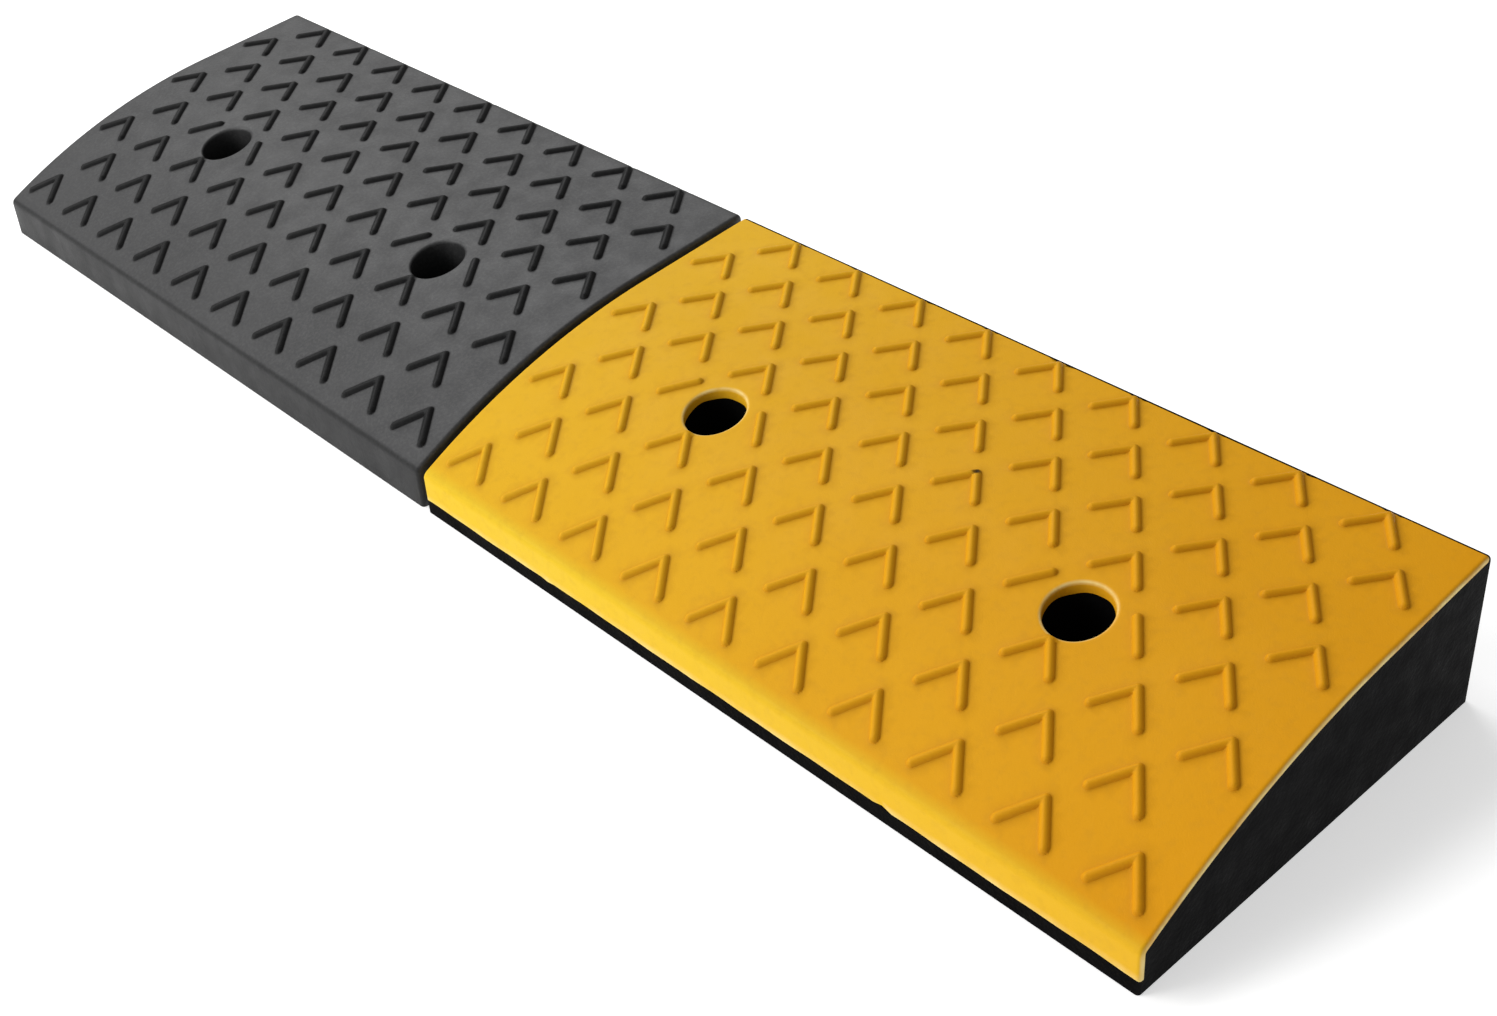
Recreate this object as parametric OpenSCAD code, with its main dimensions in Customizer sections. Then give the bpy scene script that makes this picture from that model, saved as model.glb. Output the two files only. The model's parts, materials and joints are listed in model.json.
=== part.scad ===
// Two-module rubber kerb ramp: one black module, one yellow-faced module.
// X runs along the kerb, Y from the front lip to the kerb, Z up.
// The origin is on the ground, in the middle of the pair.

/* [Module] */
// Length of one module along the kerb
module_l = 500; // [450:5:600]
// Depth of a module from its front lip to its back face
module_w = 250; // [245:1:265]
// Height of the smooth running surface at the back face
back_h = 88; // [85:1:105]
// Radius of the curved part of the running surface
crown_r = 430; // [420:5:480]
// Length of the flatter strip behind the curve, measured from the back face
top_run = 85; // [75:1:90]
// Slope of that flatter strip
top_slope = 6.3; // [5:0.1:8]
// Rounding of the front lip's upper corner
lip_r = 5; // [3:0.5:6]
// Rounding of the back upper corner
back_r = 4; // [2:0.5:5]
// Gap between the two modules as they lie
module_gap = 5; // [2:0.5:10]

/* [Yellow skin] */
// Thickness of the yellow skin on the black core
skin_t = 3; // [2:0.5:4]
// Height of the bare black strip along the foot of the front lip
strip_h = 8; // [4:0.5:10]
// Width of the bare black edge behind the skin, along the back
back_strip = 3; // [2:0.5:3]
// How far the skin turns down into each bolt recess
collar_h = 6; // [5:0.5:10]

/* [Tread] */
// Pitch of the chevrons along the kerb
tread_pitch = 50; // [48:0.5:50]
// Pitch of the chevron rows up the slope
row_pitch = 30.6; // [30:0.1:30.6]
// Distance from the front lip to the tips of the first row
first_row = 29; // [28:0.5:29]
// Number of chevron rows
rows = 8; // [4:1:8]
// Number of chevrons in the longer rows
row_count = 10; // [6:2:10]
// Overall length of one arm of a chevron
arm_l = 26; // [20:0.5:28]
// Width of an arm
arm_w = 5; // [4:0.5:7]
// Height of the tread above the running surface
tread_h = 2.5; // [1.5:0.5:3]

/* [Bolt recesses] */
// Distance between a module's two bolt recesses
bolt_pitch = 250; // [200:5:260]
// Distance from the front lip to the recesses
bolt_y = 110; // [108:1:114]
// Diameter of a recess, for the bolt's head and a socket
recess_d = 34; // [30:1:36]
// Diameter of the hole for the bolt's shank
shank_d = 14; // [12:1:16]
// Height of the recess floor above the ground, at the top of the washer
floor_h = 20; // [15:1:25]
// Outer diameter of the steel washer moulded into the floor
washer_d = 44; // [40:1:48]
// Thickness of the washer
washer_t = 3; // [2:0.5:4]

/* [Underside] */
// Thickness of the outer walls round the pockets
wall_t = 16; // [12:1:20]
// Thickness of the ribs between pockets
rib_t = 12; // [8:1:14]
// Thickness of rubber over the pockets
roof_t = 18; // [15:1:22]
// Distance from the front lip to the first row of pockets
pocket_y = 44; // [40:1:50]
// Number of pockets along the module
pocket_cols = 6; // [4:1:8]
// Number of rows of pockets
pocket_rows = 3; // [2:1:4]
// Corner radius of a pocket
pocket_r = 5; // [2:0.5:8]
// Least thickness of rubber kept round each recess
boss_t = 10; // [6:1:16]

/* [Hidden] */
$fn = 64;
// Past any outline, so that cuts run clear of the faces they open
over = 20;
// The curve meets the flatter strip at this height and distance from the lip
join_y = module_w - top_run;
join_z = back_h - top_run * tan(top_slope);
// Centre of the curve, seen along X
crown_y = join_y + crown_r * sin(top_slope);
crown_z = join_z - crown_r * cos(top_slope);
// Centre of the lip's rounding, and its tangent point on the curve
lip_z = crown_z + sqrt(pow(crown_r - lip_r, 2) - pow(crown_y - lip_r, 2));
lip_tan = lip_r * [lip_r - crown_y, lip_z - crown_z] / (crown_r - lip_r);
// Centre of the back corner's rounding
round_z = back_h - back_r * tan(top_slope) - back_r / cos(top_slope);
// An arm runs down the slope along the diagonal of the tread's grid
arm_turn = atan2(-row_pitch, tread_pitch / 2);
arm_run = arm_l - arm_w;
// Recesses sit either side of a module's middle
bolt_xs = [(module_l - bolt_pitch) / 2, (module_l + bolt_pitch) / 2];
// Pockets share out what the walls and ribs leave
pocket_l = (module_l - 2 * wall_t - (pocket_cols - 1) * rib_t) / pocket_cols;
pocket_w = (module_w - pocket_y - wall_t - (pocket_rows - 1) * rib_t) / pocket_rows;
// Where each module starts
black_x = -module_l - module_gap / 2;
yellow_x = module_gap / 2;

// ---------- outlines seen along X, drawn in Y and Z ----------

// Everything under the running surface when that surface is lowered by drop
module under_surface(drop) {
    r = crown_r - drop;
    y0 = crown_y - r * sin(top_slope);
    z0 = crown_z + r * cos(top_slope);
    front = -over;
    back = module_w + over;
    difference() {
        polygon([[front, -over], [front, z0 + (front - y0) * tan(top_slope)],
                 [back, z0 + (back - y0) * tan(top_slope)], [back, -over]]);
        difference() {
            translate([2 * front, -2 * over]) square([y0 - 2 * front, back_h + 4 * over]);
            translate([crown_y, crown_z]) circle(r);
        }
    }
}

// The corner left outside the lip's rounding
module lip_corner() {
    difference() {
        polygon([[-over, lip_z], [lip_r, lip_z], [lip_r, lip_z] + lip_tan,
                 [lip_r, lip_z] + lip_tan * (1 + over / lip_r), [-over, lip_z + over]]);
        translate([lip_r, lip_z]) circle(lip_r);
    }
}

// The corner left outside the back edge's rounding
module back_corner() {
    cy = module_w - back_r;
    difference() {
        polygon([[cy, round_z], [module_w + over, round_z], [module_w + over, round_z + over],
                 [cy - over * sin(top_slope), round_z + over * cos(top_slope)]]);
        translate([cy, round_z]) circle(back_r);
    }
}

// Whole outline of a module
module ramp_outline() {
    difference() {
        intersection() {
            under_surface(0);
            square([module_w, back_h + over]);
        }
        lip_corner();
        back_corner();
    }
}

// Outline of the yellow module's core, which the skin covers in front and on top
module core_outline() {
    intersection() {
        ramp_outline();
        union() {
            intersection() {
                under_surface(skin_t);
                translate([skin_t, 0]) square([module_w, back_h]);
            }
            square([module_w, strip_h]);
            translate([module_w - back_strip, 0]) square([back_strip, back_h]);
        }
    }
}

// A layer of the given depth just under the running surface
module layer_outline(depth) {
    difference() {
        under_surface(0);
        under_surface(depth);
    }
}

// Sweeps an outline along the module
module along_x(length) {
    rotate([90, 0, 90]) linear_extrude(height = length) children();
}

// ---------- tread ----------

// One arm seen from above, from a chevron's tip down the slope
module arm(turn) {
    rotate([0, 0, turn]) {
        translate([0, -arm_w / 2]) square([arm_run, arm_w]);
        circle(d = arm_w);
        translate([arm_run, 0]) circle(d = arm_w);
    }
}

// True where an arm would run into a recess, which leaves that arm out
function arm_blocked(x, y, side) =
    len([for (bx = bolt_xs)
        if (norm([x + side * tread_pitch / 4 - bx, y - row_pitch / 2 - bolt_y]) < recess_d / 2) 1]) > 0;

// All the chevrons seen from above
module tread_plan() {
    for (row = [0 : rows - 1]) {
        shift = (row % 2) / 2;
        y = first_row + row * row_pitch;
        for (i = [0 : row_count - 1 - row % 2]) {
            x = module_l / 2 + (i + shift - (row_count - 1) / 2) * tread_pitch;
            if (!arm_blocked(x, y, 1))
                translate([x, y]) arm(arm_turn);
            if (!arm_blocked(x, y, -1))
                translate([x, y]) arm(180 - arm_turn);
        }
    }
}

// The chevrons as ridges of even height on the running surface
module tread() {
    intersection() {
        linear_extrude(height = back_h + over) tread_plan();
        along_x(module_l) intersection() {
            difference() {
                under_surface(-tread_h);
                under_surface(skin_t / 2);
            }
            square([module_w - back_strip, back_h + over]);
        }
    }
}

// ---------- cuts ----------

// A recess with its washer's seat and the shank hole below
module bolt_cut() {
    translate([0, 0, floor_h]) cylinder(d = recess_d, h = back_h);
    translate([0, 0, floor_h - washer_t]) cylinder(d = washer_d, h = washer_t);
    translate([0, 0, -over]) cylinder(d = shank_d, h = over + floor_h);
}

module bolt_cuts() {
    for (x = bolt_xs)
        translate([x, bolt_y, 0]) bolt_cut();
}

// One pocket seen from below, with round corners
module pocket_plan() {
    translate([pocket_r, 0]) square([pocket_l - 2 * pocket_r, pocket_w]);
    translate([0, pocket_r]) square([pocket_l, pocket_w - 2 * pocket_r]);
    for (x = [pocket_r, pocket_l - pocket_r], y = [pocket_r, pocket_w - pocket_r])
        translate([x, y]) circle(pocket_r);
}

// How far a point lies outside the span from a to b
function outside(p, a, b) = max(a - p, 0, p - b);

// True where a pocket at x, y would cut into the rubber round a recess
function pocket_blocked(x, y) =
    len([for (bx = bolt_xs)
        if (norm([outside(bx, x, x + pocket_l), outside(bolt_y, y, y + pocket_w)])
            < recess_d / 2 + boss_t) 1]) > 0;

// The pockets under a module, left out where they would meet a recess
module pockets() {
    intersection() {
        translate([0, 0, -over]) linear_extrude(height = back_h + over)
            for (i = [0 : pocket_cols - 1], j = [0 : pocket_rows - 1]) {
                x = wall_t + i * (pocket_l + rib_t);
                y = pocket_y + j * (pocket_w + rib_t);
                if (!pocket_blocked(x, y))
                    translate([x, y]) pocket_plan();
            }
        along_x(module_l) under_surface(roof_t);
    }
}

// The skin's collars, which line the mouths of the recesses
module collars() {
    intersection() {
        along_x(module_l) layer_outline(collar_h);
        for (x = bolt_xs)
            translate([x, bolt_y, 0]) cylinder(d = recess_d + 2 * skin_t, h = back_h);
    }
}

// ---------- pieces ----------

module black_body() {
    color([0.22, 0.22, 0.23])
    translate([black_x, -module_w / 2, 0])
    difference() {
        union() {
            along_x(module_l) ramp_outline();
            tread();
        }
        bolt_cuts();
        pockets();
    }
}

module yellow_core() {
    color([0.1, 0.1, 0.11])
    translate([yellow_x, -module_w / 2, 0])
    difference() {
        along_x(module_l) core_outline();
        collars();
        bolt_cuts();
        pockets();
    }
}

module yellow_skin() {
    color([0.88, 0.66, 0.13])
    translate([yellow_x, -module_w / 2, 0])
    difference() {
        union() {
            along_x(module_l) difference() {
                ramp_outline();
                core_outline();
            }
            collars();
            tread();
        }
        bolt_cuts();
    }
}

// A flat steel washer in recess number i of the module that starts at x0
module washer(x0, i) {
    color([0.7, 0.71, 0.73])
    translate([x0 + bolt_xs[i], bolt_y - module_w / 2, floor_h - washer_t])
    difference() {
        cylinder(d = washer_d, h = washer_t);
        translate([0, 0, -over]) cylinder(d = shank_d, h = 2 * over);
    }
}

black_body();
washer(black_x, 0);  // black_washer_left
washer(black_x, 1);  // black_washer_right
yellow_core();
yellow_skin();
washer(yellow_x, 0);  // yellow_washer_left
washer(yellow_x, 1);  // yellow_washer_right
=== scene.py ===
"""The looks of a two-module rubber kerb ramp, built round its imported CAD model.

Each module is drawn in millimetres from its own front left corner on the ground: x along the
kerb, y from the front lip to the back, z up. A point of its outer surface is given by x and by s,
the distance round the outline from the foot of the lip, over the top, to the foot of the back.
"""
import json
import math

import bmesh
import bpy
import numpy as np
from mathutils import Matrix, Vector
from mathutils.geometry import delaunay_2d_cdt


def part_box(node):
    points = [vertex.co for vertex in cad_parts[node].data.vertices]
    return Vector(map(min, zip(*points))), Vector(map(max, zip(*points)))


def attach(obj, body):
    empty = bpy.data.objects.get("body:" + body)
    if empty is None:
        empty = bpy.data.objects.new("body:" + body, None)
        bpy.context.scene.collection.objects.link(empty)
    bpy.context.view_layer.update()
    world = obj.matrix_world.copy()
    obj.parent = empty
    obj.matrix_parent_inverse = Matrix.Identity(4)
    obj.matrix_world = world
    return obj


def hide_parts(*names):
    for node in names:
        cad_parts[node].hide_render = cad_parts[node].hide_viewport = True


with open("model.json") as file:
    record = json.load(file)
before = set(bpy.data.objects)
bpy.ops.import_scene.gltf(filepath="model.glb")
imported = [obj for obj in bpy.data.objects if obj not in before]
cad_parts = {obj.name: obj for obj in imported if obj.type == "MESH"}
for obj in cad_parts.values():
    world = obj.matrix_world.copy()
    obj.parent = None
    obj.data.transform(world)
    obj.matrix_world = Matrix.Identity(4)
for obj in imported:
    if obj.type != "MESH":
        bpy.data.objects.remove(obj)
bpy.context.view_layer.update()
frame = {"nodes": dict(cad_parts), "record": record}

MM = 0.001

# Outline of a module, as in the CAD part
BACK_H = 88.0
CROWN_R = 430.0
TOP_RUN = 85.0
TOP_SLOPE = math.radians(6.3)
LIP_R = 5.0
BACK_R = 4.0

# Yellow skin
SKIN_T = 3.0
STRIP_H = 8.0
BACK_STRIP = 3.0
COLLAR_DROP = 6.2

# Tread
TREAD_PITCH = 50.0
ROW_PITCH = 30.6
FIRST_ROW = 29.0
ROWS = 8
ROW_COUNT = 10
ARM_RUN = 21.0
RIB_HALF = 2.7
RIB_H = 2.5
# An arm matters only to points nearer its middle than this, along x and along y
ARM_REACH = 30.0
# Arms whose tips are nearer than this may meet
ARM_NEIGHBOUR = 40.0

# Underside
WALL_T = 16.0
RIB_T = 12.0
ROOF_T = 18.0
POCKET_Y = 44.0
POCKET_COLS = 6
POCKET_ROWS = 3
POCKET_R = 5.0
BOSS_T = 10.0
SHANK_R = 7.0

# Roundings that the moulds leave
END_R = 2.4
SKIN_END_R = 1.9
SKIN_EDGE_R = 0.9
RIM_R = 2.0
SHANK_EDGE = 0.6
# Sharpest angle between two faces that still look like one smooth surface
SMOOTH_ANGLE = math.radians(38)
# A quarter of the depth that the surface's faint unevenness reaches
SWELL_H = 0.05

# Mesh: points across a round edge, and the steps of the plain surfaces
ARC_STEPS = 7
GRID_X = 6.0
GRID_S = 5.0
UNDER_GRID = 12.0
END_GRID = 10.0
RECESS_STEPS = 64
RING_STEP = 1.4
# Rings round each tread arm, as shares of its half width, from past its foot to its crest
RING_LEVELS = (1.4, 1.15, 1.0, 0.84, 0.64, 0.42, 0.2)
# Rings round each recess's rim, as distances out from its wall
RIM_RINGS = (-1.2, 0.25, 0.7, 1.3, RIM_R, 3.2)
# Rings round each pocket's edge, as distances in from it, with how far the pocket's side is
# below its roof at the last four
POCKET_STEPS = (-1.0, -0.3, 0.0, 1.2, 1.6, 2.5, 4.0)
BELOW_ROOF = (4, 2.2, 0.7, 0)
# Points nearer than this, in metres, are joined
WELD = 2e-6
# A point this near an edge, in millimetres, is on it
AT_EDGE = 0.002
# The core's surface steps up beside the skin's edges over this distance
STEP = 0.02

BLACK_LOW, BLACK_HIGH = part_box("black_body")
YELLOW_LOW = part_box("yellow_core")[0]
LENGTH = round((BLACK_HIGH.x - BLACK_LOW.x) / MM, 3)
WIDTH = round((BLACK_HIGH.y - BLACK_LOW.y) / MM, 3)
WASHER_LOW, WASHER_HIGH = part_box("black_washer_left")
WASHER_R = (WASHER_HIGH.x - WASHER_LOW.x) / 2 / MM
SEAT_Z, FLOOR_Z = WASHER_LOW.z / MM, WASHER_HIGH.z / MM
RECESS_MOUNTS = [m for m in frame["record"]["mounts"] if m["name"].startswith("black_head_recess")]
RECESS_R = RECESS_MOUNTS[0]["dims"]["r_mm"]
RECESSES = [((m["pos_m"][0] - BLACK_LOW.x) / MM, (m["pos_m"][1] - BLACK_LOW.y) / MM)
            for m in RECESS_MOUNTS]


# ---------- the outline, and points on the surface ----------

def arc(centre, radius, start, end):
    """Close points along an arc with their outward normals, as rows of y, z, ny, nz."""
    count = max(2, int(abs(end - start) * radius / 0.05))
    turn = np.linspace(start, end, count)
    normal = np.column_stack([np.cos(turn), np.sin(turn)])
    return np.hstack([np.array(centre) + radius * normal, normal])


def make_outline():
    """A module's outline seen along X: arrays s, y, z, ny, nz, and s where each stretch ends."""
    join = np.array([WIDTH - TOP_RUN, BACK_H - TOP_RUN * math.tan(TOP_SLOPE)])
    crown = join + CROWN_R * np.array([math.sin(TOP_SLOPE), -math.cos(TOP_SLOPE)])
    lip_z = crown[1] + math.sqrt((CROWN_R - LIP_R) ** 2 - (crown[0] - LIP_R) ** 2)
    lip_turn = math.atan2(lip_z - crown[1], LIP_R - crown[0])
    flat_turn = math.pi / 2 + TOP_SLOPE
    round_z = BACK_H - BACK_R * math.tan(TOP_SLOPE) - BACK_R / math.cos(TOP_SLOPE)
    stretches = [
        np.array([[0, 0, -1, 0], [0, lip_z, -1, 0]]),
        arc((LIP_R, lip_z), LIP_R, math.pi, lip_turn),
        arc(crown, CROWN_R, lip_turn, flat_turn),
        arc((WIDTH - BACK_R, round_z), BACK_R, flat_turn, 0),
        np.array([[WIDTH, round_z, 1, 0], [WIDTH, 0, 1, 0]]),
    ]
    samples = np.vstack(stretches)
    steps = np.hypot(*np.diff(samples[:, :2], axis=0).T)
    s = np.concatenate([[0], np.cumsum(steps)])
    ends = s[np.cumsum([len(part) for part in stretches]) - 1]
    starts = s[np.cumsum([0] + [len(part) for part in stretches[:-1]])]
    return s, samples.T, sorted(set(np.round(np.concatenate([starts, ends]), 6)))


OUTLINE_S, OUTLINE, BREAKS = make_outline()
SPAN = BREAKS[-1]
# The outline runs foot, lip rounding, curve, flatter strip, back rounding, foot
LIP_TOP, CURVE_START, CURVE_END, ROUND_START, ROUND_END = BREAKS[1:6]


def along(s):
    """y, z, ny, nz of the outline at distances s along it."""
    return [np.interp(s, OUTLINE_S, values) for values in OUTLINE]


def s_of_y(y):
    """Distance along the outline where its upper side has reached y."""
    top = (OUTLINE_S >= LIP_TOP) & (OUTLINE_S <= ROUND_END)
    return np.interp(y, OUTLINE[0][top], OUTLINE_S[top])


def top_z(y):
    """Height of the running surface at y."""
    return np.interp(s_of_y(y), OUTLINE_S, OUTLINE[1])


def place(x, s, lift=0.0, drop=0.0):
    """Points at x and s, moved out of the surface by lift and down by drop."""
    y, z, ny, nz = along(s)
    return np.column_stack([x, y + lift * ny, z + lift * nz - drop])


def rounded(distance, radius):
    """How far a rounded edge has fallen away, at a distance in from that edge."""
    gap = np.clip(radius - np.maximum(distance - AT_EDGE, 0), 0, radius)
    return radius - np.sqrt(radius ** 2 - gap ** 2)


def smooth(value):
    """0 below 0, 1 above 1, and an even S between."""
    t = np.clip(value, 0, 1)
    return t * t * (3 - 2 * t)


def from_recess(x, y):
    """Distance in plan from the nearest recess's wall, negative inside."""
    return np.min([np.hypot(x - rx, y - ry) for rx, ry in RECESSES], axis=0) - RECESS_R


def from_ends(x):
    """Distance from the nearer end face."""
    return np.minimum(x, LENGTH - x)


def swell(x, s):
    """The faint unevenness of a moulded rubber surface, always inwards, and none at its edges."""
    wave = np.sin(x / 31 + 1.3 * np.sin(s / 47)) + np.sin(s / 23 + x / 61)
    fade = smooth(np.minimum(s, SPAN - s) / 15) * smooth(from_ends(x) / 12)
    return SWELL_H * (wave - 2) * fade


# ---------- the tread ----------

def make_arms():
    """Tip and foot of every tread arm's centre line, as rows of x0, y0, x1, y1."""
    span = math.hypot(TREAD_PITCH / 2, ROW_PITCH)
    step = np.array([TREAD_PITCH / 2, -ROW_PITCH]) / span
    found = []
    for row in range(ROWS):
        for i in range(ROW_COUNT - row % 2):
            x = LENGTH / 2 + (i + (row % 2) / 2 - (ROW_COUNT - 1) / 2) * TREAD_PITCH
            y = FIRST_ROW + row * ROW_PITCH
            for side in (1, -1):
                if from_recess(x + side * TREAD_PITCH / 4, y - ROW_PITCH / 2) < 0:
                    continue
                foot = (x + side * ARM_RUN * step[0], y + ARM_RUN * step[1])
                found.append((x, y, *foot))
    return np.array(found)


ARMS = make_arms()


def from_arms(x, y, arms=ARMS):
    """Distance in plan from the nearest arm's centre line."""
    nearest = np.full(len(x), 1e9)
    for x0, y0, x1, y1 in arms:
        away = np.maximum(abs(x - (x0 + x1) / 2), abs(y - (y0 + y1) / 2))
        near = np.nonzero(away < ARM_REACH)[0]
        px, py = x[near] - x0, y[near] - y0
        dx, dy = x1 - x0, y1 - y0
        t = np.clip((px * dx + py * dy) / (dx * dx + dy * dy), 0, 1)
        nearest[near] = np.minimum(nearest[near], np.hypot(px - t * dx, py - t * dy))
    return nearest


def tread_lift(x, y):
    """Height of the tread over the running surface: a half round ridge with a soft foot."""
    t = from_arms(x, y) / RIB_HALF
    ridge = np.clip(1 - t ** 2, 0, 1) ** 0.9
    foot = 0.10 * smooth((1.35 - t) / 0.5)
    height = RIB_H * (ridge * 0.9 + foot)
    return height * smooth(from_recess(x, y) / 3 + 0.1)


def capsule(arm, radius):
    """Points of even spacing round an arm's centre line, at a radius from it."""
    tip, foot = np.array(arm[:2]), np.array(arm[2:])
    run = (foot - tip) / np.linalg.norm(foot - tip)
    side = np.array([-run[1], run[0]])
    straight = np.linspace(0, 1, int(ARM_RUN / RING_STEP) + 1)[:, None] * (foot - tip)
    if radius == 0:
        return tip + straight
    turns = np.linspace(0, math.pi, max(3, int(math.pi * radius / RING_STEP) + 2))[1:-1, None]
    cap = np.cos(turns) * side
    bulge = np.sin(turns) * run
    return np.vstack([tip + straight + radius * side, tip + straight - radius * side,
                      foot + radius * (cap + bulge), tip + radius * (cap - bulge)])


def tread_points():
    """Points for the mesh along and round every arm."""
    found = []
    for i, arm in enumerate(ARMS):
        others = [other for j, other in enumerate(ARMS)
                  if j != i and np.hypot(*(other[:2] - arm[:2])) < ARM_NEIGHBOUR]
        for level in (*RING_LEVELS, 0):
            ring = capsule(arm, level * RIB_HALF)
            clear = from_arms(ring[:, 0], ring[:, 1], others) > level * RIB_HALF - 0.05
            found.append(ring[clear])
    return np.vstack(found)


# ---------- flat point sets and their triangles ----------

def even(start, end, step):
    """Even divisions from start to end, none longer than step."""
    return np.linspace(start, end, max(1, math.ceil((end - start) / step)) + 1)


def columns():
    """Places along x for the plain grid, close together where the ends are rounded."""
    turn = np.linspace(0, math.pi / 2, ARC_STEPS)
    near_end = END_R * (1 - np.cos(turn))
    return np.concatenate([near_end, even(END_R, LENGTH - END_R, GRID_X)[1:-1],
                           LENGTH - near_end[::-1]])


def edge_rows(start, sign):
    """Places along s that follow the skin's rounded edge at start, going in the given direction."""
    turn = np.linspace(0, math.pi / 2, ARC_STEPS)
    return start + sign * SKIN_EDGE_R * (1 - np.cos(turn))


def rows(start, end, extra=()):
    """Places along s from start to end: every break in the outline, and even steps between."""
    arcs = {LIP_TOP: CURVE_START, ROUND_START: ROUND_END}
    stops = sorted({start, end, *[b for b in BREAKS if start < b < end]})
    found = list(extra)
    for a, b in zip(stops, stops[1:]):
        step = (b - a) / ARC_STEPS if a in arcs else GRID_S
        found.extend(even(a, b, step))
    found = np.unique(np.round(found, 6))
    return found[np.concatenate([[True], np.diff(found) > 0.004])]


def circle(centre, radius):
    """Points round a recess's axis, always at the same angles."""
    turn = np.linspace(0, 2 * math.pi, RECESS_STEPS, endpoint=False)
    return np.column_stack([centre[0] + radius * np.cos(turn), centre[1] + radius * np.sin(turn)])


def triangles(points, loops, kind=0):
    """Points and triangles over a set of points in a plane, with each loop of points kept."""
    given = [Vector(p) for p in points]
    edges = []
    for loop in loops:
        start = len(given)
        given.extend(Vector(p) for p in loop)
        edges.extend((start + i, start + (i + 1) % len(loop)) for i in range(len(loop)))
    verts, _, faces, *_ = delaunay_2d_cdt(given, edges, [], kind, 1e-4)
    return np.array([tuple(v) for v in verts]), faces


def open_holes(faces, inside):
    """The faces that have no point inside a hole."""
    return [f for f in faces if not any(inside[i] for i in f)]


def sheet(s_rows, hole_r, lift, drop, tread=False):
    """A stretch of a module's surface as points and faces. lift and drop are functions of x and s;
    hole_r is the radius of the holes at the recesses."""
    grid = np.array([(x, s) for x in columns() for s in s_rows])
    y = along(grid[:, 1])[0]
    keep = from_recess(grid[:, 0], y) > hole_r - RECESS_R + 4
    if tread:
        keep &= from_arms(grid[:, 0], y) > max(RING_LEVELS) * RIB_HALF + 1
    keep |= (grid[:, 1] == s_rows[0]) | (grid[:, 1] == s_rows[-1])
    points = [grid[keep]]
    if tread:
        ribs = tread_points()
        clear = from_recess(ribs[:, 0], ribs[:, 1]) > RIM_R + 0.8
        low, high = along(s_rows[0])[0] + 2, along(s_rows[-1])[0] - 0.5
        clear &= (ribs[:, 1] > low) & (ribs[:, 1] < high)
        ribs = ribs[clear]
        points.append(np.column_stack([ribs[:, 0], s_of_y(ribs[:, 1])]))
    loops = []
    for centre in RECESSES:
        for gap in RIM_RINGS:
            ring = circle(centre, hole_r + gap)
            points.append(np.column_stack([ring[:, 0], s_of_y(ring[:, 1])]))
        ring = circle(centre, hole_r)
        loops.append(np.column_stack([ring[:, 0], s_of_y(ring[:, 1])]))
    flat, faces = triangles(np.vstack(points), loops)
    x, s = flat[:, 0], flat[:, 1]
    inside = from_recess(x, along(s)[0]) < hole_r - RECESS_R - 0.5
    inside &= s > LIP_TOP
    return place(x, follow_edge(x, s), lift(x, s), drop(x, s)), open_holes(faces, inside)


def no_move(x, s):
    """No lift and no drop."""
    return np.zeros(len(x))


def strip(first, second, closed=False):
    """Faces between two rows of the same number of points."""
    count = len(first)
    turns = range(count if closed else count - 1)
    faces = [(i, (i + 1) % count, count + (i + 1) % count, count + i) for i in turns]
    return np.vstack([first, second]), faces


def wall(rings):
    """A round wall through rings of points."""
    return [strip(a, b, closed=True) for a, b in zip(rings, rings[1:])]


def ring_at(centre, radius, z):
    """A ring of points at a height, or at one height for each point."""
    flat = circle(centre, radius)
    return np.column_stack([flat, np.broadcast_to(z, len(flat))])


# ---------- the underside ----------

def pockets():
    """Low corners of the pockets under a module, and their size. Those near a recess are left out."""
    long = (LENGTH - 2 * WALL_T - (POCKET_COLS - 1) * RIB_T) / POCKET_COLS
    deep = (WIDTH - POCKET_Y - WALL_T - (POCKET_ROWS - 1) * RIB_T) / POCKET_ROWS
    found = []
    for i in range(POCKET_COLS):
        for j in range(POCKET_ROWS):
            x = WALL_T + i * (long + RIB_T)
            y = POCKET_Y + j * (deep + RIB_T)
            gaps = [math.hypot(max(x - rx, 0, rx - x - long), max(y - ry, 0, ry - y - deep))
                    for rx, ry in RECESSES]
            if min(gaps) >= RECESS_R + BOSS_T:
                found.append((x, y))
    return found, long, deep


POCKETS, POCKET_L, POCKET_W = pockets()


def from_pockets(x, y):
    """Distance in plan from the nearest pocket's edge, negative inside."""
    nearest = np.full(len(x), 1e9)
    for px, py in POCKETS:
        qx = abs(x - px - POCKET_L / 2) - POCKET_L / 2 + POCKET_R
        qy = abs(y - py - POCKET_W / 2) - POCKET_W / 2 + POCKET_R
        out = np.hypot(np.maximum(qx, 0), np.maximum(qy, 0))
        gap = out + np.minimum(np.maximum(qx, qy), 0) - POCKET_R
        nearest = np.minimum(nearest, gap)
    return nearest


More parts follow.
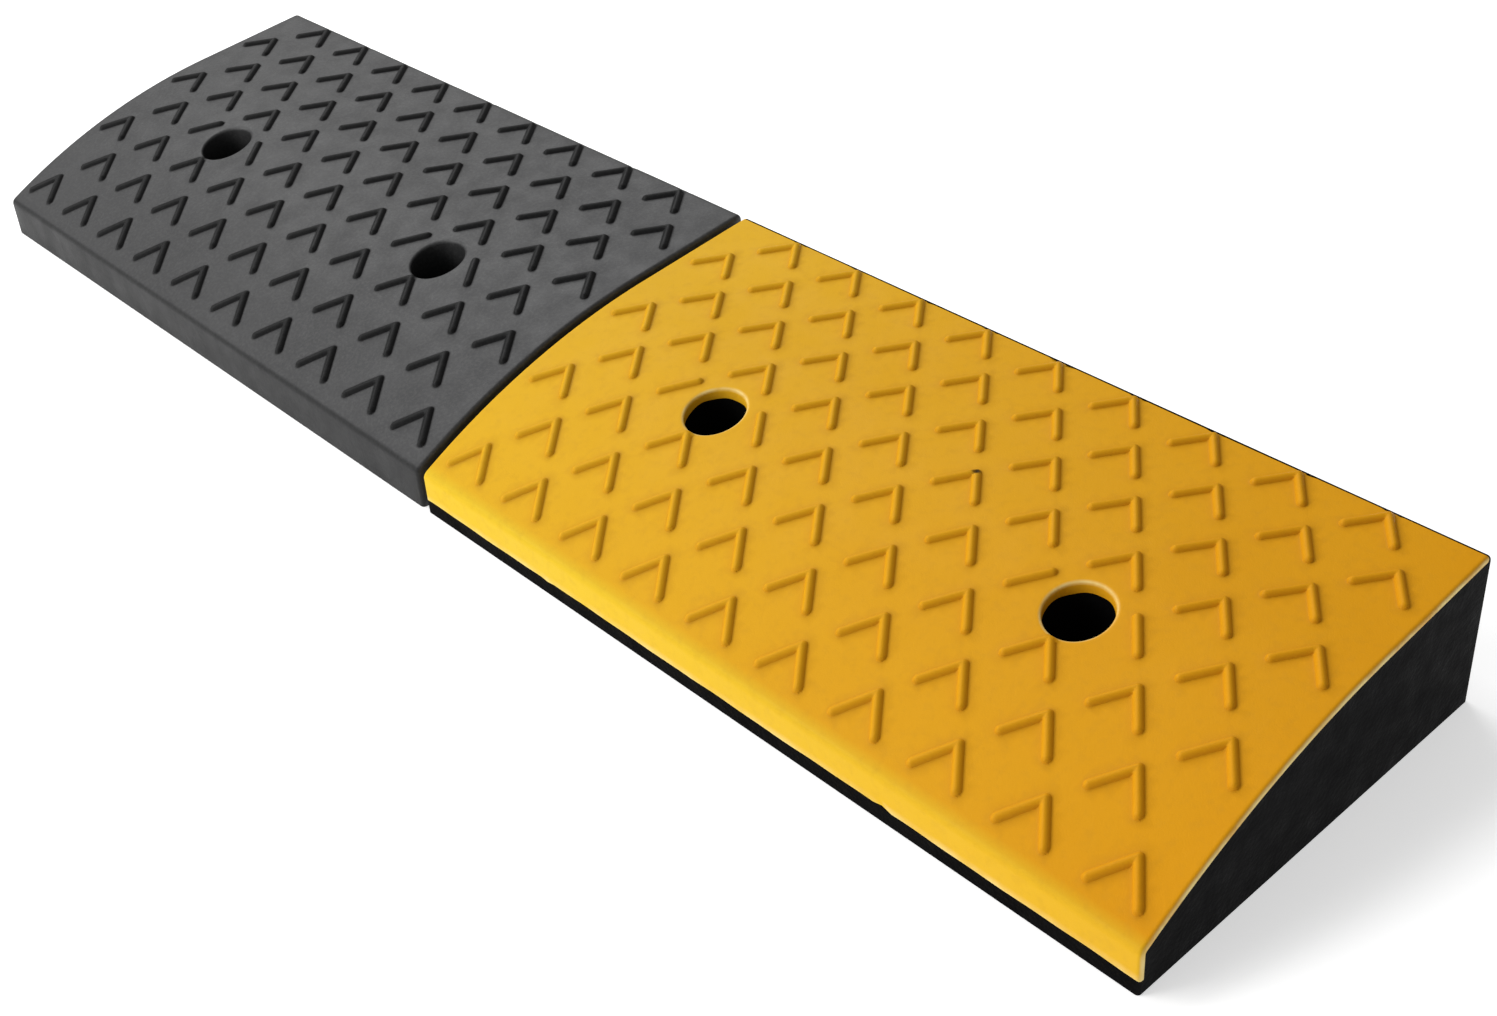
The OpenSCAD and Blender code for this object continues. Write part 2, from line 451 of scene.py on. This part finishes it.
def pocket_ring(corner, grow):
    """Points round a pocket, the given distance outside its edge."""
    r = POCKET_R + grow
    found = []
    for k, (cx, cy) in enumerate([(1, 1), (0, 1), (0, 0), (1, 0)]):
        centre = np.array(corner) + [POCKET_R + cx * (POCKET_L - 2 * POCKET_R),
                                     POCKET_R + cy * (POCKET_W - 2 * POCKET_R)]
        turn = math.pi / 2 * k + np.linspace(0, math.pi / 2, ARC_STEPS)
        found.append(centre + r * np.column_stack([np.cos(turn), np.sin(turn)]))
    corners = np.vstack(found)
    ring = []
    for a, b in zip(corners, np.roll(corners, -1, axis=0)):
        parts = max(1, int(np.linalg.norm(b - a) / 9))
        ring.extend(a + (b - a) * t for t in np.linspace(0, 1, parts, endpoint=False))
    return np.array(ring)


def pocket_height(x, y):
    """Height of the underside: flat, with pockets that have soft mouths, some draft and a fillet."""
    gap = -from_pockets(x, y)
    roof = top_z(y) - ROOF_T
    mouth = [np.full(len(x), z) for z in (0.0, 0.3, 1.0)]
    levels = mouth + [roof - gap_below for gap_below in BELOW_ROOF]
    height = np.zeros(len(x))
    for a, b, low, high in zip(POCKET_STEPS, POCKET_STEPS[1:], levels, levels[1:]):
        t = (gap - a) / (b - a)
        height = np.where(t > 0, low + np.clip(t, 0, 1) * (high - low), height)
    return height


def underside(front, back):
    """The underside as points and faces. front and back are the feet of the lip and of the back."""
    grid = np.array([(x, y) for x in even(0, LENGTH, UNDER_GRID)[1:-1]
                     for y in even(0, WIDTH, UNDER_GRID)[1:-1]])
    gap = from_pockets(grid[:, 0], grid[:, 1])
    keep = (abs(gap + 1.5) > 4.5) & (from_recess(grid[:, 0], grid[:, 1]) > -RECESS_R + SHANK_R + 4)
    points = [grid[keep]]
    for corner in POCKETS:
        points.extend(pocket_ring(corner, -step) for step in POCKET_STEPS)
    for centre in RECESSES:
        points.append(circle(centre, SHANK_R - 1))
        points.append(circle(centre, SHANK_R + 2))
    rim = np.vstack([front[:, :2], back[::-1, :2]])
    loops = [rim] + [circle(centre, SHANK_R + SHANK_EDGE) for centre in RECESSES]
    flat, faces = triangles(np.vstack(points), loops, kind=1)
    x, y = flat[:, 0], flat[:, 1]
    inside = from_recess(x, y) < -RECESS_R + SHANK_R
    height = pocket_height(x, y)
    return np.column_stack([x, y, height]), open_holes(faces, inside)


def bolt_hole(centre, mouth):
    """Walls from a ring of points down to the washer's seat and through the shank hole."""
    rings = [mouth, ring_at(centre, RECESS_R, FLOOR_Z), ring_at(centre, WASHER_R, FLOOR_Z),
             ring_at(centre, WASHER_R, SEAT_Z), ring_at(centre, SHANK_R, SEAT_Z),
             ring_at(centre, SHANK_R, SHANK_EDGE), ring_at(centre, SHANK_R + SHANK_EDGE, 0)]
    return wall(rings)


def end_face(column):
    """A flat end, filled inside the column of points where the outer surface meets it."""
    x = column[0, 0]
    low, high = column[:, 1:].min(0), column[:, 1:].max(0)
    grid = np.array([(y, z) for y in even(low[0], high[0], END_GRID)[1:-1]
                     for z in even(low[1], high[1], END_GRID)[1:-1]])
    margin = 9
    under = grid[:, 1] < np.minimum(top_z(grid[:, 0]), BACK_H) - margin
    under &= (grid[:, 0] > margin) & (grid[:, 0] < WIDTH - margin)
    flat, faces = triangles(grid[under], [column[:, 1:]], kind=1)
    return np.column_stack([np.full(len(flat), x), flat]), faces


# ---------- pieces ----------

def build(name, patches, low):
    """One closed mesh from patches in millimetres, set at the module's low corner."""
    verts, faces, start = [], [], 0
    for points, found in patches:
        verts.append(points)
        faces.extend(tuple(i + start for i in f) for f in found)
        start += len(points)
    mesh = bpy.data.meshes.new(name)
    mesh.from_pydata((np.vstack(verts) * MM + np.array(low)).tolist(), [], faces)
    bm = bmesh.new()
    bm.from_mesh(mesh)
    bmesh.ops.remove_doubles(bm, verts=bm.verts, dist=WELD)
    bmesh.ops.dissolve_degenerate(bm, edges=bm.edges, dist=WELD)
    loose = [v for v in bm.verts if not v.link_faces]
    bmesh.ops.delete(bm, geom=loose, context="VERTS")
    bmesh.ops.recalc_face_normals(bm, faces=bm.faces)
    bm.to_mesh(mesh)
    bm.free()
    mesh.polygons.foreach_set("use_smooth", np.ones(len(mesh.polygons), bool))
    mesh.set_sharp_from_angle(angle=SMOOTH_ANGLE)
    piece = bpy.data.objects.new(name, mesh)
    bpy.context.scene.collection.objects.link(piece)
    return piece


def side_columns(s_rows, lift, drop=no_move):
    """The columns of points at the two ends of a sheet."""
    found = []
    for x in (0.0, LENGTH):
        xs = np.full(len(s_rows), x)
        found.append(place(xs, s_rows, lift(xs, s_rows), drop(xs, s_rows)))
    return found


def edge_row(s, lift):
    """The row of points along a sheet's edge at s."""
    x = columns()
    at = np.full(len(x), s)
    return place(x, follow_edge(x, at), lift(x, at))


def rim_drop(x, s):
    """How far the surface turns down round a recess's rim."""
    y = along(s)[0]
    near = np.where(s > LIP_TOP, from_recess(x, y), 99)
    return rounded(near, RIM_R)


def rim_of(centre, radius, lift, drop):
    """The ring of points where a sheet meets a recess."""
    ring = circle(centre, radius)
    s = s_of_y(ring[:, 1])
    return place(ring[:, 0], s, lift(ring[:, 0], s), drop(ring[:, 0], s))


def black_lift(x, s):
    """The black module's surface over the plain outline."""
    y = along(s)[0]
    top = (s > LIP_TOP) & (s < ROUND_END)
    return np.where(top, tread_lift(x, y), 0) + swell(x, s) - rounded(from_ends(x), END_R)


def black_ramp():
    """The black module: one moulding."""
    s_rows = rows(0, SPAN)
    patches = [sheet(s_rows, RECESS_R, black_lift, rim_drop, tread=True)]
    for column in side_columns(s_rows, black_lift):
        patches.append(end_face(column))
    patches.append(underside(edge_row(0, black_lift), edge_row(SPAN, black_lift)))
    for centre in RECESSES:
        patches.extend(bolt_hole(centre, rim_of(centre, RECESS_R, black_lift, rim_drop)))
    return build("black_ramp", patches, BLACK_LOW)


SKIN_END = float(s_of_y(WIDTH - BACK_STRIP))
# Nicks in the skin's lower edge: where along x, how wide, and how far up
NICKS = ((110, 2.2, -0.8), (215, 1.6, 0.8), (355, 3.0, 1.5), (359, 1.2, -1.0))
# Where a crumb of the skin is missing, as x and y, and the size of the pit
TORN_TIP = (275.0, 151.4)
TORN_R = 1.6


def ragged(x):
    """How far the skin's lower edge strays from its line, with a few small nicks."""
    wave = 0.22 * np.sin(x / 17 + np.sin(x / 41)) + 0.13 * np.sin(x / 5.3)
    for middle, width, height in NICKS:
        wave = wave + height * np.exp(-((x - middle) / width) ** 2)
    return wave * smooth(from_ends(x) / 6)


def follow_edge(x, s):
    """s moved so that the skin's lower edge, at STRIP_H, follows its ragged line."""
    fade = smooth(1 - abs(s - STRIP_H) / np.where(s < STRIP_H, STRIP_H, 10))
    return s + ragged(x) * fade


def skin_lift(x, s):
    """The skin's outer surface over the plain outline."""
    y = along(s)[0]
    torn = np.hypot(x - TORN_TIP[0], y - TORN_TIP[1])
    pit = np.where(s > LIP_TOP, TORN_R * np.exp(-(torn / TORN_R) ** 2), 0)
    tread = np.where(s > LIP_TOP, tread_lift(x, y), 0) - pit
    ends = rounded(from_ends(x), SKIN_END_R)
    edges = rounded(s - STRIP_H, SKIN_EDGE_R) + rounded(SKIN_END - s, SKIN_EDGE_R)
    return tread + swell(x, s) - np.maximum(ends, edges)


def inner_lift(x, s):
    """Where the skin meets the core."""
    return np.full(len(x), -SKIN_T)


def core_lift(x, s):
    """The core's outer surface: under the skin, and at the full outline below and behind it."""
    painted_shade = (s <= STRIP_H + STEP / 2) | (s >= SKIN_END - STEP / 2)
    return np.where(painted_shade, -rounded(from_ends(x), SKIN_END_R), -SKIN_T)


def collar_rings(centre):
    """The two rings at the ragged lower edge of the skin's collar, at its inner and outer wall."""
    found = []
    for radius in (RECESS_R, RECESS_R + SKIN_T):
        flat = circle(centre, radius)
        turn = np.linspace(0, 2 * math.pi, RECESS_STEPS, endpoint=False)
        ragged_z = 0.35 * np.sin(3 * turn + centre[0]) + 0.25 * np.sin(7 * turn)
        found.append(ring_at(centre, radius, top_z(flat[:, 1]) - COLLAR_DROP + ragged_z))
    return found


def yellow_skin():
    """The yellow module's skin, with a collar turned down into each recess."""
    outer_rows = rows(STRIP_H, SKIN_END, [*edge_rows(STRIP_H, 1), *edge_rows(SKIN_END, -1)])
    patches = [sheet(outer_rows, RECESS_R, skin_lift, rim_drop, tread=True),
               sheet(outer_rows, RECESS_R + SKIN_T, inner_lift, no_move)]
    outer, inner = (side_columns(outer_rows, lift) for lift in (skin_lift, inner_lift))
    patches.extend(strip(a, b) for a, b in zip(outer, inner))
    for s in (STRIP_H, SKIN_END):
        patches.append(strip(edge_row(s, skin_lift), edge_row(s, inner_lift)))
    for centre in RECESSES:
        low_in, low_out = collar_rings(centre)
        patches.extend(wall([rim_of(centre, RECESS_R, skin_lift, rim_drop), low_in, low_out,
                             rim_of(centre, RECESS_R + SKIN_T, inner_lift, no_move)]))
    return build("yellow_skin_layer", patches, YELLOW_LOW)


def yellow_core():
    """The yellow module's black core, bare at its foot, ends, back and inside the recesses."""
    s_rows = rows(0, SPAN, [STRIP_H, STRIP_H + STEP, SKIN_END - STEP, SKIN_END])
    patches = [sheet(s_rows, RECESS_R + SKIN_T, core_lift, no_move)]
    for column in side_columns(s_rows, core_lift):
        patches.append(end_face(column))
    patches.append(underside(edge_row(0, core_lift), edge_row(SPAN, core_lift)))
    for centre in RECESSES:
        low_in, low_out = collar_rings(centre)
        top = rim_of(centre, RECESS_R + SKIN_T, core_lift, no_move)
        patches.extend(wall([top, low_out, low_in]))
        patches.extend(bolt_hole(centre, low_in))
    return build("yellow_core_block", patches, YELLOW_LOW)


# ---------- where the surfaces are worn, and where light and shade are painted ---

# Stands for any distance too great to matter
FAR = 9


def on_top(y, z, depth):
    """True within a depth of the running surface."""
    return z > top_z(y) - depth


def from_rim(x, y, z):
    """Distance from the rounded mouth of the nearest recess, or FAR well below it."""
    near = np.hypot(from_recess(x, y) - 0.5, top_z(y) - z - 0.5)
    return np.where(on_top(y, z, FAR), near, FAR)


def near_edges(x, y, z):
    """1 along a module's rounded edges and rims, falling to 0 a little way in."""
    from_back = abs(WIDTH - y) + abs(z - BACK_H) / 3
    gaps = np.minimum(np.minimum(from_ends(x), from_rim(x, y, z)), from_back)
    return smooth(1 - gaps / 2.4)


def near_skin_edge(x, y, z):
    """1 along the skin's lower edge, its ends and the mouths of its collars, falling to 0."""
    foot = np.where(y < SKIN_T, z - STRIP_H, FAR)
    gaps = np.minimum(np.minimum(from_ends(x) * 2, from_rim(x, y, z) * 1.3), foot)
    return smooth(1 - gaps / 1.8)


def shade_in_creases(x, y, z):
    """Painted shade: 1 round the foot of the tread, falling to 0 on its crest and on the plain
    surface.
    """
    t = from_arms(x, y) / RIB_HALF
    return np.where(on_top(y, z, 2) & (y > LIP_R), np.exp(-((t - 1.15) / 0.35) ** 2), 0)


def on_tread(x, y, z):
    """1 all over the tread's ribs, falling to 0 just past their foot."""
    t = from_arms(x, y) / RIB_HALF
    return np.where(on_top(y, z, 2) & (y > LIP_R), smooth((1.3 - t) / 0.35), 0)


def faded(x, y, z):
    """Painted light, paling the skin where the light falls strongest: 1 along the front lip, towards
    0 at the back right.
    """
    return np.clip(0.62 - 0.52 * x / LENGTH + 0.5 * smooth((6 - y) / 5), 0, 1)


def shaded(x, y, z):
    """1 down the bolt recesses, part way on the front lip, and 0 on the running surface."""
    down = np.where(from_recess(x, y) < 0.5, smooth((top_z(y) - z - 0.5) / 4), 0)
    return np.maximum(down, 0.6 * smooth((3 - y) / 2))


def at_torn_tip(x, y, z):
    """1 where a crumb of the skin is missing from one tread tip."""
    gap = np.hypot(x - TORN_TIP[0], y - TORN_TIP[1])
    return smooth(1.6 - gap / 1.9)


def paint(piece, low, **layers):
    """Stores a value for each point of a piece, for its material to read."""
    mesh = piece.data
    co = np.zeros(len(mesh.vertices) * 3)
    mesh.vertices.foreach_get("co", co)
    x, y, z = ((co.reshape(-1, 3) - np.array(low)) / MM).T
    for name, function in layers.items():
        layer = mesh.attributes.new(name, "FLOAT", "POINT")
        layer.data.foreach_set("value", function(x, y, z).astype(np.float32))


# ---------- materials ----------

class Shader:
    """A material whose nodes are added and joined by short calls."""

    def __init__(self, name):
        self.material = bpy.data.materials.new(name)
        self.material.use_nodes = True
        self.tree = self.material.node_tree
        self.surface = self.tree.nodes["Principled BSDF"]
        self.place = self.add("ShaderNodeTexCoord").outputs["Object"]

    def add(self, kind, **values):
        """A node, with its inputs set by name or joined to another node's output."""
        node = self.tree.nodes.new(kind)
        for name, value in values.items():
            self.put(node.inputs[name.replace("_", " ")], value)
        return node

    def put(self, socket, value):
        """Sets a socket to a plain value, or joins it to another node's output."""
        if isinstance(value, bpy.types.NodeSocket):
            self.tree.links.new(value, socket)
        else:
            socket.default_value = value

    def noise(self, scale, detail=3.0, roughness=0.5):
        """Noise with that many waves to a metre, from 0 to 1."""
        return self.add("ShaderNodeTexNoise", Vector=self.place, Scale=scale, Detail=detail,
                        Roughness=roughness).outputs["Fac"]

    def spots(self, scale):
        """Distance from the nearest of many scattered points."""
        return self.add("ShaderNodeTexVoronoi", Vector=self.place, Scale=scale).outputs["Distance"]

    def layer(self, name):
        """A value painted on the mesh's points."""
        node = self.add("ShaderNodeAttribute")
        node.attribute_name = name
        return node.outputs["Fac"]

    def spread(self, value, low, high, to_low=0.0, to_high=1.0):
        """value between low and high carried over to another range."""
        node = self.add("ShaderNodeMapRange", From_Min=low, From_Max=high, To_Min=to_low,
                        To_Max=to_high)
        self.put(node.inputs["Value"], value)
        return node.outputs["Result"]

    def maths(self, operation, a, b):
        """The result of an operation on two values."""
        node = self.add("ShaderNodeMath")
        node.operation = operation
        self.put(node.inputs[0], a)
        self.put(node.inputs[1], b)
        return node.outputs[0]

    def times(self, a, b):
        """The product of two values."""
        return self.maths("MULTIPLY", a, b)

    def blend(self, share, a, b):
        """Colour a, going over to colour b as share goes from 0 to 1."""
        node = self.add("ShaderNodeMix")
        node.data_type = "RGBA"
        colours = [i for i in node.inputs if i.type == "RGBA"]
        self.put(node.inputs["Factor"], share)
        self.put(colours[0], a)
        self.put(colours[1], b)
        return next(o for o in node.outputs if o.type == "RGBA")

    def bump(self, *heights):
        """Unevenness from pairs of a height, 0 to 1, and its depth in metres."""
        normal = None
        for height, depth in heights:
            node = self.add("ShaderNodeBump", Height=height, Distance=depth)
            if normal is not None:
                self.put(node.inputs["Normal"], normal)
            normal = node.outputs["Normal"]
        self.put(self.surface.inputs["Normal"], normal)

    def finish(self, colour, roughness, specular=0.5):
        """Joins the colour, roughness and sheen, and gives the material."""
        self.put(self.surface.inputs["Base Color"], colour)
        self.put(self.surface.inputs["Roughness"], roughness)
        self.put(self.surface.inputs["Specular IOR Level"], specular)
        return self.material


def black_rubber():
    """Moulded recycled rubber: dark grey, with a dusty bloom of pale specks, fine grain, paler edges
    that are partly wear and partly a painted highlight, and painted shade down the recesses, on the
    front lip and over the tread ribs.
    """
    shader = Shader("black_rubber")
    cloud, grain = shader.noise(9, 4), shader.noise(1500, 2)
    speck = shader.spread(shader.noise(520, 2), 0.42, 0.72)
    colour = shader.blend(shader.spread(cloud, 0.35, 0.65), (0.018, 0.018, 0.019, 1),
                          (0.027, 0.027, 0.028, 1))
    colour = shader.blend(shader.times(speck, 0.5), colour, (0.055, 0.055, 0.054, 1))
    # Paler along the rounded edges and rims: partly wear, partly a painted highlight where the
    # roundings catch the light
    colour = shader.blend(shader.times(shader.layer("edge"), 0.12), colour,
                          (0.09, 0.09, 0.09, 1))
    # Painted shade: near black, with less sheen, down the recesses, on the front lip and over the
    # tread ribs, where shade falls
    painted_shade = shader.maths("MAXIMUM", shader.layer("shaded"),
                        shader.times(shader.layer("tread"), 0.75))
    colour = shader.blend(painted_shade, colour, (0.003, 0.003, 0.003, 1))
    rough = shader.spread(shader.noise(60, 3), 0.3, 0.7, 0.46, 0.58)
    shader.bump((grain, 0.00012), (shader.noise(240, 3), 0.00012), (cloud, 0.0006))
    return shader.finish(colour, rough, shader.spread(painted_shade, 0.0, 1.0, 0.47, 0.04))


def core_rubber():
    """Plain black recycled rubber with the crumb of its granules showing, its colour painted far
    darker than the black module's rubber as painted shade.
    """
    shader = Shader("core_rubber")
    crumb = shader.spots(420)
    # Painted shade: the same black rubber as the black module, coloured several times darker
    colour = shader.blend(shader.spread(shader.noise(25, 4), 0.35, 0.7), (0.0015, 0.0014, 0.0014, 1),
                          (0.004, 0.0038, 0.0038, 1))
    # Paler along the edges: partly wear, partly a painted highlight where the roundings catch the
    # light
    colour = shader.blend(shader.times(shader.layer("edge"), 0.3), colour,
                          (0.02, 0.02, 0.021, 1))
    rough = shader.spread(shader.noise(80, 3), 0.3, 0.7, 0.5, 0.68)
    shader.bump((crumb, 0.00018), (shader.noise(1300, 2), 0.00012))
    return shader.finish(colour, rough, 0.015)


def yellow_rubber():
    """Traffic-yellow rubber: faint mottling, patchy dirt, painted light that pales it towards the
    front left and along the lip, painted shade in the creases and over the tread ribs, and pale edges
    that are partly rubbed wear and partly a painted highlight.
    """
    shader = Shader("yellow_rubber")
    cloud, grain = shader.noise(7, 4), shader.noise(1300, 2)
    # Painted light: paler yellow towards the front left and along the lip, deeper orange towards the
    # back right
    colour = shader.blend(shader.layer("faded"), (0.70, 0.275, 0.003, 1), (0.75, 0.495, 0.022, 1))
    colour = shader.blend(shader.spread(cloud, 0.35, 0.65, 0.0, 0.12), colour, (0.85, 0.5, 0.02, 1))
    dirt = shader.spread(shader.noise(170, 4, 0.6), 0.5, 0.75)
    colour = shader.blend(shader.times(dirt, 0.18), colour, (0.50, 0.24, 0.02, 1))
    # Painted shade: darker orange in the creases at the foot of the tread
    colour = shader.blend(shader.times(shader.layer("crease"), 0.35), colour,
                          (0.46, 0.20, 0.008, 1))
    # Painted shade: darker orange over the tread ribs
    colour = shader.blend(shader.times(shader.layer("tread"), 0.2), colour,
                          (0.50, 0.20, 0.003, 1))
    # Pale edges: partly rubbed wear, partly a painted highlight where the roundings catch the light
    worn_and_highlit = shader.times(shader.layer("edge"),
                          shader.spread(shader.noise(90, 3), 0.3, 0.6, 0.35, 1.0))
    colour = shader.blend(worn_and_highlit, colour, (0.88, 0.68, 0.27, 1))
    colour = shader.blend(shader.layer("torn"), colour, (0.05, 0.025, 0.004, 1))
    rough = shader.spread(shader.noise(45, 3), 0.3, 0.7, 0.40, 0.54)
    shader.bump((grain, 0.00009), (shader.noise(210, 3), 0.00010), (cloud, 0.0006))
    return shader.finish(colour, rough, 0.06)


def zinc_steel():
    """A zinc-plated washer, faintly brushed, with a little rust starting in spots."""
    shader = Shader("zinc_steel")
    cloud = shader.noise(160, 4)
    colour = shader.blend(shader.spread(cloud, 0.35, 0.7), (0.55, 0.56, 0.58, 1),
                          (0.42, 0.42, 0.43, 1))
    rust = shader.spread(shader.noise(330, 3), 0.62, 0.72)
    colour = shader.blend(shader.times(rust, 0.7), colour, (0.16, 0.07, 0.03, 1))
    rough = shader.spread(shader.noise(700, 2), 0.3, 0.7, 0.28, 0.5)
    shader.bump((shader.noise(1900, 2), 0.00004))
    shader.surface.inputs["Metallic"].default_value = 1.0
    return shader.finish(colour, rough)


# ---------- the stage ----------

def add_floor():
    """A plain pale floor."""
    half, below = 20.0, -0.0002
    mesh = bpy.data.meshes.new("floor")
    corners = [(x * half, y * half, 0) for x, y in ((-1, -1), (1, -1), (1, 1), (-1, 1))]
    mesh.from_pydata(corners, [], [(0, 1, 2, 3)])
    floor = bpy.data.objects.new("floor", mesh)
    floor.location.z = below
    bpy.context.scene.collection.objects.link(floor)
    material = bpy.data.materials.new("floor")
    material.use_nodes = True
    surface = material.node_tree.nodes["Principled BSDF"]
    surface.inputs["Base Color"].default_value = (0.93, 0.93, 0.93, 1)
    surface.inputs["Roughness"].default_value = 0.8
    surface.inputs["Specular IOR Level"].default_value = 0.1
    surface.inputs["Emission Color"].default_value = (1, 1, 1, 1)
    surface.inputs["Emission Strength"].default_value = 0.5
    mesh.materials.append(material)


def add_light(name, direction, distance, size, watts):
    """A soft square light that looks at the object's middle from a direction."""
    light = bpy.data.lights.new(name, "AREA")
    light.size, light.energy = size, watts
    lamp = bpy.data.objects.new(name, light)
    towards = Vector(direction).normalized()
    lamp.location = towards * distance
    lamp.rotation_euler = towards.to_track_quat("Z", "Y").to_euler()
    bpy.context.scene.collection.objects.link(lamp)


def add_lights():
    """A dim surround, a soft key from the left, a broad light behind and a low one in front."""
    world = bpy.data.worlds.new("surround")
    world.use_nodes = True
    surround = world.node_tree.nodes["Background"]
    surround.inputs["Color"].default_value = (1, 1, 1, 1)
    surround.inputs["Strength"].default_value = 0.28
    bpy.context.scene.world = world
    add_light("key", (-0.50, -0.62, 0.60), distance=4.2, size=2.3, watts=107)
    add_light("sheen", (-0.63, 0.20, 0.74), distance=4.0, size=2.9, watts=80)
    add_light("front", (-0.20, -0.96, 0.18), distance=4.0, size=1.3, watts=22)
    bpy.context.scene.view_settings.view_transform = "Standard"


# The camera's place in metres, how far it is turned from the Y axis, its angle above the ground
# and its roll in degrees, and its lens in millimetres and shift
CAMERA_AT = (0.8296, -0.5881, 0.6488)
CAMERA_TURN, CAMERA_HEIGHT, CAMERA_ROLL = 47.695, 33.645, -3.008
LENS, SHIFT_X, SHIFT_Y = 48.45, -0.0398, -0.0451


def add_camera():
    """The camera, from the right and above, with a slight roll."""
    turn, height, roll = (math.radians(a) for a in (CAMERA_TURN, CAMERA_HEIGHT, CAMERA_ROLL))
    ahead = Vector((-math.sin(turn) * math.cos(height), math.cos(turn) * math.cos(height),
                    -math.sin(height)))
    level = ahead.cross(Vector((0, 0, 1))).normalized()
    upright = level.cross(ahead)
    right = math.cos(roll) * level + math.sin(roll) * upright
    up = math.cos(roll) * upright - math.sin(roll) * level
    data = bpy.data.cameras.new("camera")
    data.lens, data.sensor_width = LENS, 36
    data.shift_x, data.shift_y = SHIFT_X, SHIFT_Y
    camera = bpy.data.objects.new("camera", data)
    axes = Matrix((right, up, -ahead)).transposed().to_4x4()
    camera.matrix_world = Matrix.Translation(CAMERA_AT) @ axes
    bpy.context.scene.collection.objects.link(camera)
    bpy.context.scene.camera = camera


def main():
    """Sets the stage, then makes each piece, paints it and sets it on its CAD body."""
    add_camera()
    add_lights()
    add_floor()
    pieces = (
        (black_ramp, black_rubber, "black_module", "black_body", "black_rubber", BLACK_LOW,
         {"edge": near_edges, "tread": on_tread, "shaded": shaded}),
        (yellow_core, core_rubber, "yellow_module", "yellow_core", "core_rubber", YELLOW_LOW,
         {"edge": near_edges}),
        (yellow_skin, yellow_rubber, "yellow_module", "yellow_skin", "yellow_rubber", YELLOW_LOW,
         {"edge": near_skin_edge, "crease": shade_in_creases, "tread": on_tread, "faded": faded,
          "torn": at_torn_tip}),
    )
    for make, look, body, node, slot, low, layers in pieces:
        piece = make()
        paint(piece, low, **layers)
        piece.data.materials.append(look())
        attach(piece, body)
        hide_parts(node)
    steel = zinc_steel()
    for name, washer in frame["nodes"].items():
        if "washer" in name:
            washer.data.materials.clear()
            washer.data.materials.append(steel)


main()
